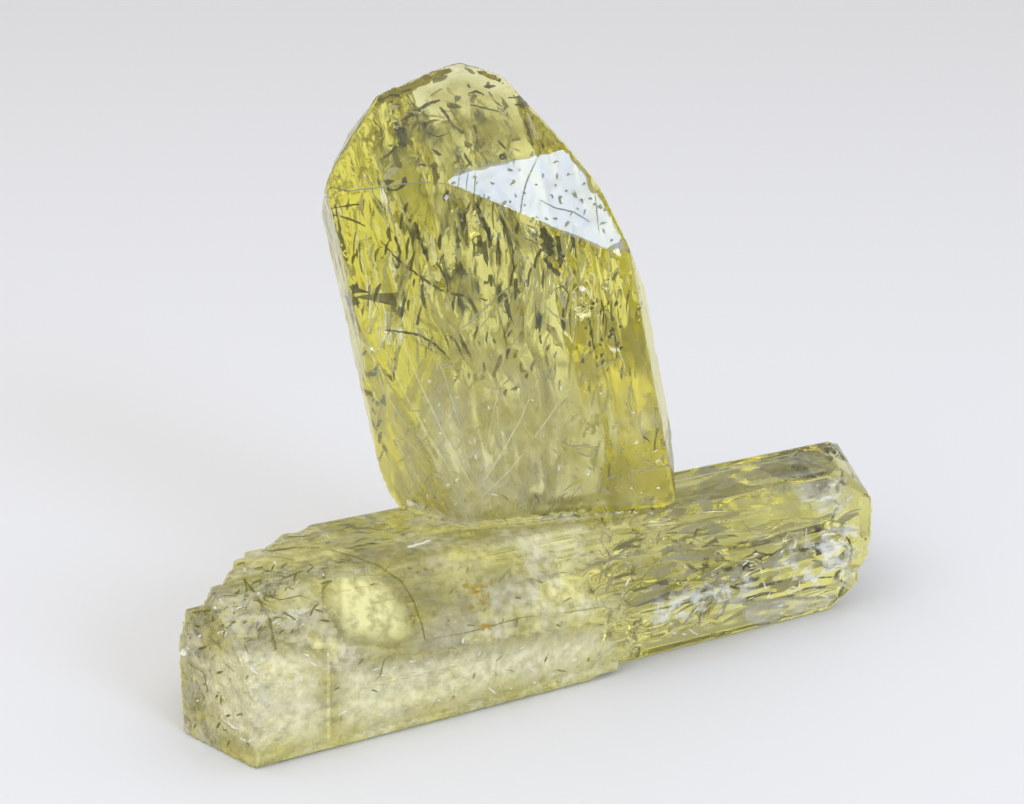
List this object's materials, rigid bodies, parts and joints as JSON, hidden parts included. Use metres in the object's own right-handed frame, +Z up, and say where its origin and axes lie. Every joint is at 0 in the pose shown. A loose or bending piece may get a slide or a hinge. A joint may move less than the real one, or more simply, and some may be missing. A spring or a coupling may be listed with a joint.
{
  "type": "brazilianite crystal specimen",
  "caption": "Brazilianite rough: a prismatic yellow-green crystal lying on a flat side with a second, many-faced crystal grown upright from its back.",
  "frame": {"origin": "centre of the bounding box, at the resting level of the lower crystal's flat side", "axes": "+Z up, the upper crystal rises along it and leans to -X; +X to the lower crystal's clear end, +Y to the back"},
  "size_m": [0.0256, 0.0198, 0.0209],
  "materials": {
    "brazilianite": "clear to milky yellow-green crystal, glassy faces with fine growth lines and etched patches"
  },
  "bodies": {
    "root": {"brazilianite_crystals": "brazilianite"}
  },
  "joints": []
}
